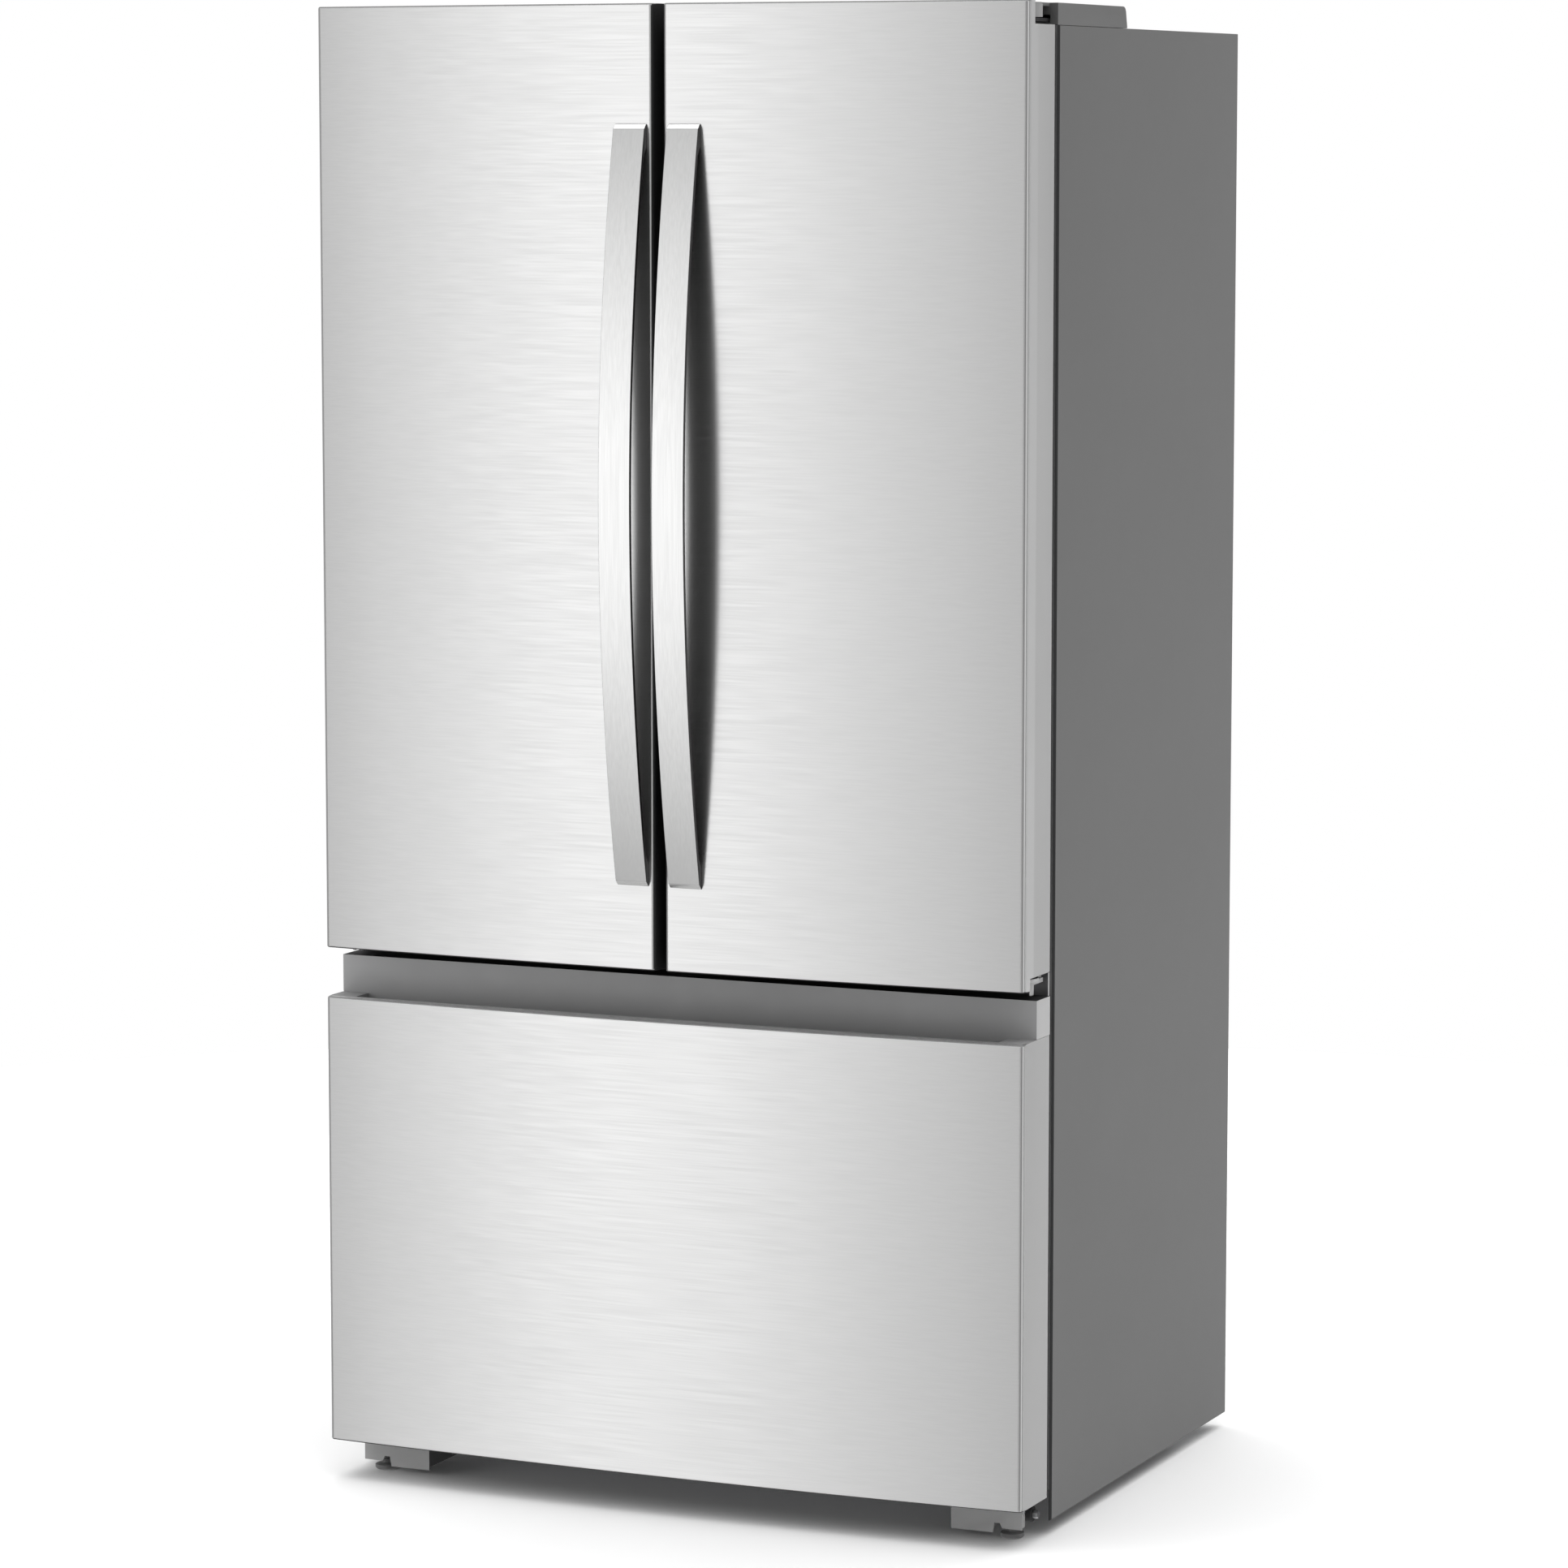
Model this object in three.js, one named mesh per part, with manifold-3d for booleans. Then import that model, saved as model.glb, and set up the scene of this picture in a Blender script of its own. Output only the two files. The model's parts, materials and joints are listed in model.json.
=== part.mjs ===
// A 36-inch counter-depth french door refrigerator: two bowed-front doors over one freezer drawer.
// Millimetres. X runs across the front, Y from the front to the back, Z up from the floor.
// While it is modelled, Y = 0 is the plane of the doors' front side edges; the last lines centre it.
import * as THREE from "three";
import { mergeVertices } from "three/addons/utils/BufferGeometryUtils.js";
import Module from "manifold-3d";

const wasm = await Module();
wasm.setup();

// Driving dimensions of the whole appliance
const WIDTH = 905;
const HEIGHT = 1780;
const HALF = WIDTH / 2;
const GAP = 0.3; // clearance between pieces that touch
const BULGE = 13.3; // how far the fronts bow out at the middle
const CORNER = 4.5; // edge radius of the steel fronts
const REAR_EASE = 1.5; // small chamfer on their rear edges
const SHEET = 1.2; // door steel
const SKIN = 1.5; // cabinet steel
const LINER = 2.5; // moulded liners

// Cabinet
const CABINET_FRONT = 92.3;
const CABINET_BACK = 705;
const BACK_SHEET = 2.1;
const CABINET_LOW = 18;
const CABINET_TOP = 1753;
const FLOOR_PAN = 55; // underside of the insulated box
const WALL = 52;
const OPENING = HALF - WALL; // half-width of both compartments
const COMPARTMENT_BACK = 652;
const FRESH_LOW = 700;
const FRESH_TOP = 1700;
const FREEZER_LOW = 100;
const FREEZER_TOP = 612;
const STEP_FRONT = 520; // the freezer floor steps up over the machine bay
const STEP_TOP = 255;
const BAY_FRONT = 560;
const BAY_TOP = 215;

// Doors and drawer
const DOOR_BACK = 84.5;
const DOOR_LOW = 654.7;
const DOOR_GAP = 13;
const DRAWER_LOW = 48;
const DRAWER_TOP = 595;
const BAND_TOP = 640.5; // top of the recessed grip band over the drawer
const BAND_FRONT = 43;
const SEAL_BACK = 91.8;
const LINER_FRONT = DOOR_BACK - LINER;

// Door hinges: one vertical pin line near each outer edge
const PIN_X = 428.5;
const PIN_Y = 50;
const PIN_RADIUS = 6;
const ARM_HALF = 12;
const NOTCH_WIDE = 52;
const NOTCH_FRONT = 22;
const TOP_NOTCH = 1753.5;
const LOW_NOTCH = 669;

const material = (color, roughness, metalness) =>
  new THREE.MeshStandardMaterial({ color, roughness, metalness });
const steel = () => material("#d9d9d8", 0.32, 1);
const barSteel = () => material("#dedede", 0.22, 1);
const cabinetPaint = () => material("#777777", 0.55, 0.1);
const gripPlastic = () => material("#8b8b8b", 0.5, 0);
const whitePlastic = () => material("#eef0f0", 0.4, 0);
const clearPlastic = () => material("#e4ecef", 0.12, 0);
const darkRubber = () => material("#4a4b4d", 0.8, 0);
const glass = () => material("#dfeeea", 0.05, 0);
const zinc = () => material("#b4b6b8", 0.4, 1);
const black = () => material("#1c1d1f", 0.5, 0.2);
const foam = () => material("#e9dfb4", 0.9, 0);
const wheelPlastic = () => material("#26272a", 0.6, 0);

// ---- solids ----

function solid(geometry) {
  const bare = geometry.clone();
  bare.deleteAttribute("normal");
  bare.deleteAttribute("uv");
  const merged = mergeVertices(bare, 1e-4);
  return new wasm.Manifold(
    new wasm.Mesh({
      numProp: 3,
      vertProperties: new Float32Array(merged.attributes.position.array),
      triVerts: new Uint32Array(merged.index.array),
    }),
  );
}

function box(x, y, z) {
  const geometry = new THREE.BoxGeometry(
    Math.abs(x[1] - x[0]),
    Math.abs(y[1] - y[0]),
    Math.abs(z[1] - z[0]),
  );
  geometry.translate((x[0] + x[1]) / 2, (y[0] + y[1]) / 2, (z[0] + z[1]) / 2);
  return solid(geometry);
}

const outline = (points) => new THREE.Shape(points.map(([a, b]) => new THREE.Vector2(a, b)));

// A prism whose outline lies in the XY plane, from height z[0] to z[1].
function plan(points, z) {
  const geometry = new THREE.ExtrudeGeometry(outline(points), {
    depth: z[1] - z[0],
    bevelEnabled: false,
  });
  geometry.translate(0, 0, z[0]);
  return solid(geometry);
}

// A prism whose outline lies in the YZ plane, from x[0] to x[1].
function profile(points, x) {
  const geometry = new THREE.ExtrudeGeometry(outline(points), {
    depth: x[1] - x[0],
    bevelEnabled: false,
  });
  // the outline's own axes (a, b) become (Y, Z), and its depth becomes X
  geometry.applyMatrix4(new THREE.Matrix4().set(0, 0, 1, x[0], 1, 0, 0, 0, 0, 1, 0, 0, 0, 0, 0, 1));
  return solid(geometry);
}

// A round bar along an axis ("x", "y" or "z"), centred on the other two coordinates.
function rod(axis, centre, radius, span, sides = 24) {
  const geometry = new THREE.CylinderGeometry(radius, radius, span[1] - span[0], sides);
  if (axis === "x") geometry.rotateZ(-Math.PI / 2);
  if (axis === "z") geometry.rotateX(Math.PI / 2);
  const middle = (span[0] + span[1]) / 2;
  const place = { x: [middle, ...centre], y: [centre[0], middle, centre[1]], z: [...centre, middle] };
  geometry.translate(...place[axis]);
  return solid(geometry);
}

// A body of revolution about a vertical axis through the origin.
function turned(points, sides = 24) {
  const geometry = new THREE.LatheGeometry(
    points.map(([r, h]) => new THREE.Vector2(r, h)),
    sides,
  );
  geometry.rotateX(Math.PI / 2);
  return solid(geometry);
}

const join = (first, ...rest) => rest.reduce((sum, piece) => sum.add(piece), first);
const cut = (first, ...rest) => rest.reduce((left, piece) => left.subtract(piece), first);

function mesh(name, shape, finish, at = [0, 0, 0]) {
  const data = shape.getMesh();
  const geometry = new THREE.BufferGeometry();
  geometry.setAttribute("position", new THREE.BufferAttribute(data.vertProperties, 3));
  geometry.setIndex(new THREE.BufferAttribute(data.triVerts, 1));
  geometry.computeVertexNormals();
  const made = new THREE.Mesh(geometry, finish);
  made.name = name;
  made.position.set(...at);
  return made;
}

function group(name, ...children) {
  const made = new THREE.Group();
  made.name = name;
  made.add(...children.flat(2));
  return made;
}

// An open-topped tray standing on z = 0, with its front lower corner at the origin's side.
function tray(width, depth, height, wall) {
  return cut(
    box([-width / 2, width / 2], [0, depth], [0, height]),
    box([wall - width / 2, width / 2 - wall], [wall, depth - wall], [wall, height + 1]),
  );
}

// ---- fronts: the plan of a bowed steel front between two x positions, shrunk by an inset ----

function bow(x) {
  return -BULGE * (1 - (x / HALF) ** 2);
}

function corner(x, y, radius, from, to) {
  const steps = 6;
  return Array.from({ length: steps + 1 }, (_, i) => {
    const turn = from + ((to - from) * i) / steps;
    return [x + radius * Math.cos(turn), y + radius * Math.sin(turn)];
  });
}

function frontPlan(left, right, inset, back, steps) {
  const radius = CORNER - inset / 2;
  const low = left + inset;
  const high = right - inset;
  const ease = back > DOOR_BACK ? 0 : REAR_EASE;
  const points = [[low + ease, back], [low, back - ease]];
  points.push(...corner(low + radius, bow(low) + inset + radius, radius, Math.PI, 1.5 * Math.PI));
  for (let i = 1; i < steps; i++) {
    const x = low + radius + ((high - low - 2 * radius) * i) / steps;
    points.push([x, bow(x) + inset]);
  }
  points.push(
    ...corner(high - radius, bow(high) + inset + radius, radius, 1.5 * Math.PI, 2 * Math.PI),
  );
  points.push([high, back - ease], [high - ease, back]);
  return points;
}

// The two notches in a door's outer rear edge that make room for its hinges, grown by a wall.
function hingeNotches(side, grow) {
  const x = [side * (HALF - NOTCH_WIDE - grow), side * (HALF + 5)];
  const y = [NOTCH_FRONT - grow, DOOR_BACK + 5];
  return [
    box(x, y, [TOP_NOTCH - grow, HEIGHT + 5]),
    box(x, y, [DOOR_LOW - 5, LOW_NOTCH + grow]),
  ];
}

// Holes that the hinge pins turn in, above the lower notch and below the upper one.
function pinHoles(side) {
  const radius = PIN_RADIUS + 0.6;
  return [
    rod("z", [side * PIN_X, PIN_Y], radius, [TOP_NOTCH - 24, TOP_NOTCH + 1]),
    rod("z", [side * PIN_X, PIN_Y], radius, [LOW_NOTCH - 1, LOW_NOTCH + 24]),
  ];
}

const doorEdges = (side) =>
  side > 0 ? [DOOR_GAP / 2, HALF] : [-HALF, -DOOR_GAP / 2];

function doorFill(side, inset, back, z) {
  const [left, right] = doorEdges(side);
  return cut(plan(frontPlan(left, right, inset, back, 12), z), ...hingeNotches(side, inset));
}

function doorPanel(side) {
  const outer = doorFill(side, 0, DOOR_BACK, [DOOR_LOW, HEIGHT]);
  const inner = doorFill(side, SHEET, DOOR_BACK + 5, [DOOR_LOW + SHEET, HEIGHT - SHEET]);
  return cut(outer, inner, ...pinHoles(side));
}

// A rectangular frame standing in the XZ plane, bar wide.
function ring(x, y, z, bar) {
  const hole = [Math.min(...x) + bar, Math.max(...x) - bar];
  return cut(box(x, y, z), box(hole, [y[0] - 1, y[1] + 1], [z[0] + bar, z[1] - bar]));
}

const DIKE = { near: 45, far: 392, low: 712, top: 1690, deep: 28, bar: 14 };

// The inner door: foam core with its moulded liner, and the raised dike that carries the bins.
function doorInner(side) {
  const inset = SHEET + GAP;
  const core = doorFill(side, inset, DOOR_BACK, [DOOR_LOW + inset, HEIGHT - inset]);
  const dike = ring(
    [side * DIKE.near, side * DIKE.far],
    [LINER_FRONT, DOOR_BACK + DIKE.deep],
    [DIKE.low, DIKE.top],
    DIKE.bar,
  );
  return cut(join(core, dike), ...pinHoles(side));
}

const SEAL_BAR = 14;
const SEAL_OUT = 427.5;

function doorSeal(side) {
  const x = [side * (DOOR_GAP / 2 + 3), side * SEAL_OUT];
  return ring(x, [DOOR_BACK + GAP, SEAL_BACK], [680, 1740], SEAL_BAR);
}

// ---- handles: a flat bar bowed out from the door, its ends resting on the steel ----

const HANDLE = {
  wide: 40, centre: 34.2, low: 755, high: 1642, thick: 5.2, bow: 44, foot: 26, chamfer: 5.5,
};

function handleBar() {
  const half = (HANDLE.high - HANDLE.low) / 2;
  const seat = bow(HANDLE.centre) - GAP;
  const reach = (z) => seat - HANDLE.bow * (1 - (z / half) ** 2);
  const steps = 28;
  const front = [];
  const back = [];
  const face = half - HANDLE.chamfer; // the outer face stops here, at the chamfered ends
  for (let i = 0; i <= steps; i++) {
    const z = -face + (2 * face * i) / steps;
    front.push([reach(z) - HANDLE.thick, z]);
    if (Math.abs(z) < half - HANDLE.foot) back.push([reach(z), z]);
  }
  const feet = [[seat - 1, half], [seat, half], [seat, half - HANDLE.foot]];
  const toes = [[seat, HANDLE.foot - half], [seat, -half], [seat - 1, -half]];
  const x = [-HANDLE.wide / 2, HANDLE.wide / 2];
  return profile([...front, ...feet, ...back.reverse(), ...toes], x);
}

// ---- door shelves ----

const BIN = { wide: 318, deep: 104, high: 92, wall: 3 };
const BIN_FRONT = DOOR_BACK + 1;
const BIN_X = (DIKE.near + DIKE.far) / 2;
const LOW_BIN = 950;
const HIGH_BIN = 1400;

const doorBin = () => tray(BIN.wide, BIN.deep, BIN.high, BIN.wall);

// The lid of the dairy shelf; its hinge rod lies along the edge nearest the door.
const LID = { thick: 3, rod: 3, rodY: 4, skirt: 16, lift: 2 };

function dairyLid() {
  const half = BIN.wide / 2;
  const front = BIN.deep + 3;
  return join(
    box([-half, half], [LID.rodY - 2, front], [0, LID.thick]),
    box([-half, half], [BIN.deep + 0.5, front], [-LID.skirt, 1]),
    rod("x", [LID.rodY, LID.thick / 2], LID.rod, [-half, half], 12),
  );
}

// The flap on the left door that closes the gap between the doors and folds as that door opens.
// Its pivot is the mesh's own origin line; the blade reaches just short of the right door's edge.
const FLAP = { x: -33, tip: 1.5, y: 103, half: 10.4, low: 706, high: 1694 };

function mullionFlap() {
  const reach = FLAP.tip - FLAP.x;
  const height = [FLAP.low, FLAP.high];
  return join(
    box([0, reach], [-FLAP.half, FLAP.half], height),
    rod("z", [0, 0], FLAP.half, height, 20),
  );
}

function door(side, name) {
  const binX = side * BIN_X;
  const handleAt = [side * HANDLE.centre, 0, (HANDLE.low + HANDLE.high) / 2];
  return [
    mesh(name + "_door_panel", doorPanel(side), steel()),
    mesh(name + "_door_inner", doorInner(side), whitePlastic()),
    mesh(name + "_door_seal", doorSeal(side), darkRubber()),
    mesh(name + "_door_handle", handleBar(), barSteel(), handleAt),
    mesh(name + "_low_door_bin", doorBin(), clearPlastic(), [binX, BIN_FRONT, LOW_BIN]),
    mesh(name + "_high_door_bin", doorBin(), clearPlastic(), [binX, BIN_FRONT, HIGH_BIN]),
  ];
}

// ---- freezer drawer ----

const POCKET = { half: 418, front: 8, floor: 558, wall: 3 };
const INNER_HALF = HALF - SHEET - GAP;

function drawerFill(inset, back, z) {
  return plan(frontPlan(-HALF, HALF, inset, back, 24), z);
}

function drawerPanel() {
  const skin = HALF - SHEET;
  return cut(
    drawerFill(0, DOOR_BACK, [DRAWER_LOW, DRAWER_TOP]),
    drawerFill(SHEET, DOOR_BACK + 5, [DRAWER_LOW + SHEET, DRAWER_TOP - SHEET]),
    box([-skin, skin], [POCKET.front - GAP, DOOR_BACK + 5], [DRAWER_TOP - 5, DRAWER_TOP + 5]),
  );
}

// Foam core and liner of the drawer front, hollowed where the finger pocket sits.
function drawerInner() {
  const inset = SHEET + GAP;
  const behind = BAND_FRONT + POCKET.wall + GAP;
  return cut(
    drawerFill(inset, DOOR_BACK, [DRAWER_LOW + inset, DRAWER_TOP - 1.5]),
    box([-HALF, HALF], [POCKET.front - GAP, behind], [POCKET.floor - GAP, DRAWER_TOP]),
  );
}

// The grip: a recessed band over the drawer and a finger pocket behind the panel's top edge.
function drawerGrip() {
  const { half, front, floor, wall } = POCKET;
  const section = [
    [front, DRAWER_TOP], [front + wall, DRAWER_TOP],
    [front + wall, floor + wall], [BAND_FRONT, floor + wall],
    [BAND_FRONT, BAND_TOP], [DOOR_BACK, BAND_TOP],
    [DOOR_BACK, DRAWER_TOP], [BAND_FRONT + wall, DRAWER_TOP],
    [BAND_FRONT + wall, floor], [front, floor],
  ];
  const inner = INNER_HALF - 0.5;
  const ends = [-1, 1].map((side) =>
    box([side * half, side * inner], [front, BAND_FRONT + wall], [floor, DRAWER_TOP]),
  );
  return join(
    profile(section, [-inner, inner]),
    box([-HALF, HALF], [BAND_FRONT, DOOR_BACK], [DRAWER_TOP + GAP, BAND_TOP]),
    ...ends,
  );
}

const drawerSeal = () =>
  ring([-SEAL_OUT, SEAL_OUT], [DOOR_BACK + GAP, SEAL_BACK], [78, 632], SEAL_BAR);

const BASKET = { half: 372, front: 95, back: 500, low: 115, high: 400, wall: 2.5 };
const UPPER = { half: 366, front: 110, deep: 230, low: 300 };

function lowerBasket() {
  return tray(2 * BASKET.half, BASKET.back - BASKET.front, BASKET.high - BASKET.low, BASKET.wall);
}

// The sliding basket hangs inside the lower one, its side flanges resting on the lower one's rims.
function upperBasket() {
  const rim = BASKET.high + GAP - UPPER.low;
  const flanges = [-1, 1].map((side) =>
    box([side * (UPPER.half - 1), side * BASKET.half], [0, UPPER.deep], [rim, rim + 3]),
  );
  return join(tray(2 * UPPER.half, UPPER.deep, rim + 3, BASKET.wall), ...flanges);
}

const RAIL = { low: 298, high: 337, split: 386, back: 508, lip: 5 };

// Cabinet half of a drawer slide: a channel open towards the middle of the freezer.
function outerRail(side) {
  const wall = OPENING - GAP;
  return cut(
    box([side * RAIL.split, side * wall], [110, RAIL.back], [RAIL.low, RAIL.high]),
    box([side * (RAIL.split - 1), side * (wall - 8)], [109, RAIL.back - 6],
      [RAIL.low + RAIL.lip, RAIL.high - RAIL.lip]),
  );
}

// Drawer half: a bar beside the basket with a tongue that runs in the channel.
function innerRail(side) {
  const length = [DOOR_BACK + GAP, RAIL.back - 8];
  const tongue = [side * (RAIL.split - 2), side * (RAIL.split + 5)];
  return join(
    box([side * (BASKET.half + GAP), side * (RAIL.split - 0.6)], length, [RAIL.low + 8, RAIL.high - 8]),
    box(tongue, [112, RAIL.back - 8], [RAIL.low + 8, RAIL.high - 8]),
  );
}

// ---- cabinet ----

const FRESH = { x: [-OPENING, OPENING], z: [FRESH_LOW, FRESH_TOP] };
const FREEZER = { x: [-OPENING, OPENING], z: [FREEZER_LOW, FREEZER_TOP] };

function compartment(space, grow, front, back) {
  return box(
    [space.x[0] - grow, space.x[1] + grow],
    [front, back + grow],
    [space.z[0] - grow, space.z[1] + grow],
  );
}

// The freezer's hollow, with the step in its floor left standing.
function freezerHollow(grow, front) {
  return cut(
    compartment(FREEZER, grow, front, COMPARTMENT_BACK),
    box([-HALF, HALF], [STEP_FRONT + grow, CABINET_BACK], [0, STEP_TOP - grow]),
  );
}

function cabinetShell() {
  const side = HALF - SKIN;
  return cut(
    box([-HALF, HALF], [CABINET_FRONT, CABINET_BACK], [CABINET_LOW, CABINET_TOP]),
    box([-side, side], [CABINET_FRONT + SKIN, CABINET_BACK + 1], [0, CABINET_TOP - SKIN]),
    box([-side, side], [CABINET_FRONT - 1, CABINET_BACK], [0, FLOOR_PAN]),
    compartment(FRESH, 0, CABINET_FRONT - 1, CABINET_BACK),
    compartment(FREEZER, 0, CABINET_FRONT - 1, CABINET_BACK),
  );
}

// The liners and the foam start just behind the steel face frame.
const LINER_START = CABINET_FRONT + SKIN + GAP;

function insulation() {
  const side = HALF - SKIN - GAP;
  return cut(
    box([-side, side], [LINER_START, CABINET_BACK - GAP], [FLOOR_PAN, CABINET_TOP - SKIN - GAP]),
    box([-HALF, HALF], [BAY_FRONT, CABINET_BACK + 1], [0, BAY_TOP]),
    compartment(FRESH, LINER + GAP, 0, COMPARTMENT_BACK),
    freezerHollow(LINER + GAP, 0),
  );
}

function freshLiner() {
  return cut(
    compartment(FRESH, LINER, LINER_START, COMPARTMENT_BACK),
    compartment(FRESH, 0, 0, COMPARTMENT_BACK),
  );
}

const freezerLiner = () => cut(freezerHollow(LINER, LINER_START), freezerHollow(0, 0));

const BACK_Y = [CABINET_BACK + GAP, CABINET_BACK + GAP + BACK_SHEET];

function machineCover() {
  let plate = box([-HALF + 4, HALF - 4], BACK_Y, [30, BAY_TOP - 3]);
  for (const x of [-300, -100, 100, 300])
    for (let row = 0; row < 5; row++) {
      const z = 70 + row * 26;
      plate = plate.subtract(box([x - 70, x + 70], [CABINET_BACK, CABINET_BACK + 5], [z, z + 8]));
    }
  return plate;
}

// ---- machine bay ----

const JOURNAL = 4; // roller axle radius
const ROLLER = { radius: 20, wide: 16, x: 405, y: 655 };
const PAN = { low: 44, thick: 3, front: 566, back: 700 };
const PAN_TOP = PAN.low + PAN.thick + GAP;

// Floor of the machine bay, with two ears near each end that hold the rear rollers.
function basePan() {
  const half = HALF - SKIN - GAP;
  let pan = box([-half, half], [PAN.front, PAN.back], [PAN.low, PAN.low + PAN.thick]);
  for (const side of [-1, 1])
    for (const offset of [-1, 1]) {
      const x = side * ROLLER.x + offset * (ROLLER.wide / 2 + 2.5);
      pan = pan.add(box([x - 1.5, x + 1.5], [ROLLER.y - 14, ROLLER.y + 14], [12, PAN.low + 1]));
    }
  const axle = [ROLLER.y, ROLLER.radius];
  return pan.subtract(rod("x", axle, JOURNAL + 0.6, [-ROLLER.x - 20, ROLLER.x + 20]));
}

// A hard wheel with eased tread edges on its own journals, turning about X.
function roller(radius, width, journal) {
  const half = width / 2;
  const ease = 2;
  const wheel = turned([
    [0, -half], [radius - ease, -half], [radius, -half + ease],
    [radius, half - ease], [radius - ease, half], [0, half],
  ]);
  return join(wheel.rotate([0, 90, 0]), rod("x", [0, 0], JOURNAL, [-journal, journal], 16));
}

function compressor() {
  return turned([
    [0, 0], [62, 0], [66, 6], [66, 12], [58, 18], [58, 92], [54, 112], [42, 128], [22, 136], [0, 138],
  ]);
}

// Tube-and-fin condenser: a row of upright fins pierced by four tubes.
function condenser() {
  const pitch = 32;
  const fins = Array.from({ length: 7 }, (_, i) => box([i * pitch, i * pitch + 3], [0, 90], [0, 120]));
  const tubes = [[22, 30], [22, 90], [68, 30], [68, 90]].map((centre) =>
    rod("x", centre, 5, [-8, 6 * pitch + 11], 8),
  );
  return join(...fins, ...tubes);
}

const FAN = { x: 20, y: 632, z: 132, radius: 58, hub: 17 };

function fanRotor() {
  const blades = Array.from({ length: 5 }, (_, i) =>
    box([-1.2, 1.2], [-15, 15], [FAN.hub - 4, FAN.radius])
      .rotate([0, 0, 55])
      .rotate([(360 * i) / 5, 0, 0]),
  );
  return join(rod("x", [0, 0], FAN.hub, [-12, 12], 20), ...blades);
}

// The fan's motor on an upright bracket that stands on the base pan.
function fanMotor() {
  const foot = PAN_TOP - FAN.z;
  return join(
    rod("x", [0, 0], 26, [13, 52], 20),
    box([28, 32], [-22, 22], [foot, 0]),
    box([28, 60], [-22, 22], [foot, foot + 3]),
  );
}

// ---- inside the compartments ----

const SHELF = { front: 210, deep: 400, thick: 4, half: 390, x: 200, middle: 1160, high: 1410 };

const shelf = (width) => box([-width / 2, width / 2], [0, SHELF.deep], [0, SHELF.thick]);

function airDuct() {
  let duct = box([-90, 90], [634, COMPARTMENT_BACK - GAP], [925, FRESH_TOP - 12]);
  for (let i = 0; i < 4; i++)
    for (const x of [-45, 45]) {
      const z = 1050 + i * 160;
      duct = duct.subtract(box([x - 28, x + 28], [630, 645], [z, z + 14]));
    }
  return duct;
}

const controlPanel = () =>
  plan([[-150, 150], [150, 150], [135, 270], [-135, 270]], [FRESH_TOP - 24, FRESH_TOP - GAP]);

// The plate over the evaporator at the back of the freezer, with a row of air slots.
function evaporatorCover() {
  const y = [626, 629];
  const plate = box([-OPENING + 2, OPENING - 2], y, [STEP_TOP + 3, FREEZER_TOP - 4]);
  const slots = [-280, -140, 0, 140, 280].map((x) =>
    box([x - 45, x + 45], [y[0] - 1, y[1] + 1], [540, 560]),
  );
  return cut(plate, ...slots);
}

const CRISPER = { wide: 392, deep: 400, high: 200, wall: 3, x: 199, front: 216, low: 706 };
const CRISPER_LIP = 14;

// A crisper with a grip lip along the top of its front.
function crisper() {
  const { wide, deep, high, wall } = CRISPER;
  const lip = [[1, high], [-CRISPER_LIP, high], [-CRISPER_LIP, high - 4], [-6, high - 16], [1, high - 20]];
  return join(tray(wide, deep, high, wall), profile(lip, [20 - wide / 2, wide / 2 - 20]));
}

const crisperCover = () =>
  box([-OPENING + GAP, OPENING - GAP], [CRISPER.front, 620], [912, 917]);

// A humidity slide: a flat plate with a thumb rib, on the crisper's front.
const SLIDE = { z: 150, x: -15 };
const humiditySlide = () =>
  join(box([-28, 28], [-3.5, -0.4], [0, 22]), box([-3, 3], [-8, -3], [3, 19]));

// ---- hinges ----

const COVER = { inner: 332, front: 93, back: 317, top: 1778.5, wall: 2.5, nose: 13 };

function hingeCover(side) {
  const rounded = [
    [COVER.front, CABINET_TOP + GAP],
    [COVER.front, COVER.top],
    ...[0, 1, 2, 3, 4].map((i) => {
      const turn = Math.PI / 2 - (i * Math.PI) / 8;
      return [COVER.back - 13 + 9 * Math.cos(turn), COVER.top - 9 + 9 * Math.sin(turn)];
    }),
    [COVER.back, CABINET_TOP + GAP],
  ];
  const span = [side * COVER.inner, side * HALF].sort((a, b) => a - b);
  const inside = [
    [COVER.front + COVER.wall, 0],
    [COVER.front + COVER.wall, COVER.top - COVER.wall],
    [COVER.back - 13, COVER.top - COVER.wall],
    [COVER.back - 8, COVER.top - 12],
    [COVER.back - COVER.wall, 0],
  ];
  const nose = join(
    box([side * (PIN_X - COVER.nose), side * (PIN_X + COVER.nose)], [PIN_Y, COVER.front + 3],
      [COVER.top - 4, COVER.top]),
    rod("z", [side * PIN_X, PIN_Y], COVER.nose, [COVER.top - 4, COVER.top], 28),
  );
  return cut(
    join(profile(rounded, span), nose),
    profile(inside, [span[0] + COVER.wall, span[1] - COVER.wall]),
    box([side * (PIN_X - 14), side * (PIN_X + 14)], [COVER.front - 1, COVER.front + 5],
      [CABINET_TOP, CABINET_TOP + 12]),
  );
}

const ARM_LOW = 1757;

// Top hinge: a plate screwed to the cabinet's top, an arm, and a pin that hangs down into the door.
function topHinge(side) {
  return join(
    box([side * 350, side * 446], [98, 210], [CABINET_TOP + GAP, ARM_LOW + 4]),
    box([side * (PIN_X - ARM_HALF), side * (PIN_X + ARM_HALF)], [PIN_Y, 99], [ARM_LOW, ARM_LOW + 4]),
    rod("z", [side * PIN_X, PIN_Y], ARM_HALF, [ARM_LOW, ARM_LOW + 4]),
    rod("z", [side * PIN_X, PIN_Y], PIN_RADIUS, [TOP_NOTCH - 20, COVER.top - 4 - GAP]),
  );
}

const CENTRE = {
  arm: [662, 666], flange: [640, 667], inner: 365, outer: 449, sheet: 5, eye: 22, nut: 9, drop: 9,
};

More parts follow.
